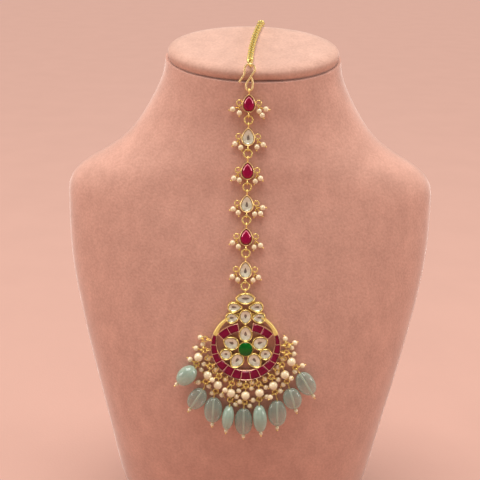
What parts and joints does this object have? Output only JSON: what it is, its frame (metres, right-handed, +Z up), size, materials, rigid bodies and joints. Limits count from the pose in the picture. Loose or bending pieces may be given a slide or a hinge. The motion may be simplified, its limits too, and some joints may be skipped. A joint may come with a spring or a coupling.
{
  "type": "maang tikka on a neck display bust",
  "caption": "Forehead ornament of linked pear stones with a round pendant and a pearl and bead fringe, hooked to a woven chain and laid on a plain velvet neck bust.",
  "frame": {"origin": "middle of the bust's flat base", "axes": "+Z up, -Y the way the bust faces, +X to its left, the viewer's right"},
  "size_m": [0.187, 0.1044, 0.2734],
  "materials": {
    "bust_velvet": "velvet",
    "cap_velvet": "velvet",
    "gold": "polished gold plate",
    "ruby": "faceted, foil backed",
    "clear_stone": "faceted, foil backed",
    "green_stone": "polished cabochon",
    "mint_stone": "polished, translucent",
    "pearl": "pearl lustre",
    "pin_steel": "satin"
  },
  "bodies": {
    "root": {"bust_body": "bust_velvet", "centre_stone": "green_stone", "chain_pin": "pin_steel", "crown_lower": "clear_stone", "crown_mid": "clear_stone", "crown_top": "clear_stone", "crown_upper": "clear_stone", "hair_chain": "gold", "jump_ring_1": "gold", "jump_ring_2": "gold", "jump_ring_3": "gold", "jump_ring_4": "gold", "jump_ring_5": "gold", "jump_ring_6": "gold", "link_pearls_1": "pearl", "link_pearls_2": "pearl", "link_pearls_3": "pearl", "link_pearls_4": "pearl", "link_pearls_5": "pearl", "link_pearls_6": "pearl", "link_setting_1": "gold", "link_setting_2": "gold", "link_setting_3": "gold", "link_setting_4": "gold", "link_setting_5": "gold", "link_setting_6": "gold", "link_stone_1": "ruby", "link_stone_2": "clear_stone", "link_stone_3": "ruby", "link_stone_4": "clear_stone", "link_stone_5": "ruby", "link_stone_6": "clear_stone", "mint_bead_1": "mint_stone", "mint_bead_2": "mint_stone", "mint_bead_3": "mint_stone", "mint_bead_4": "mint_stone", "mint_bead_5": "mint_stone", "mint_bead_6": "mint_stone", "mint_bead_7": "mint_stone", "mint_bead_8": "mint_stone", "mint_bead_9": "mint_stone", "neck_cap": "cap_velvet", "pearl_strand_1": "pearl", "pearl_strand_2": "pearl", "pearl_strand_3": "pearl", "pearl_strand_4": "pearl", "pearl_strand_5": "pearl", "pearl_strand_6": "pearl", "pearl_strand_7": "pearl", "pearl_strand_8": "pearl", "pearl_strand_9": "pearl", "pendant_frame": "gold", "petal_lower": "clear_stone", "petal_side": "clear_stone", "petal_top": "clear_stone", "petal_upper": "clear_stone", "ruby_arcs": "ruby", "ruby_crescent": "ruby", "s_hook": "gold"}
  },
  "joints": []
}
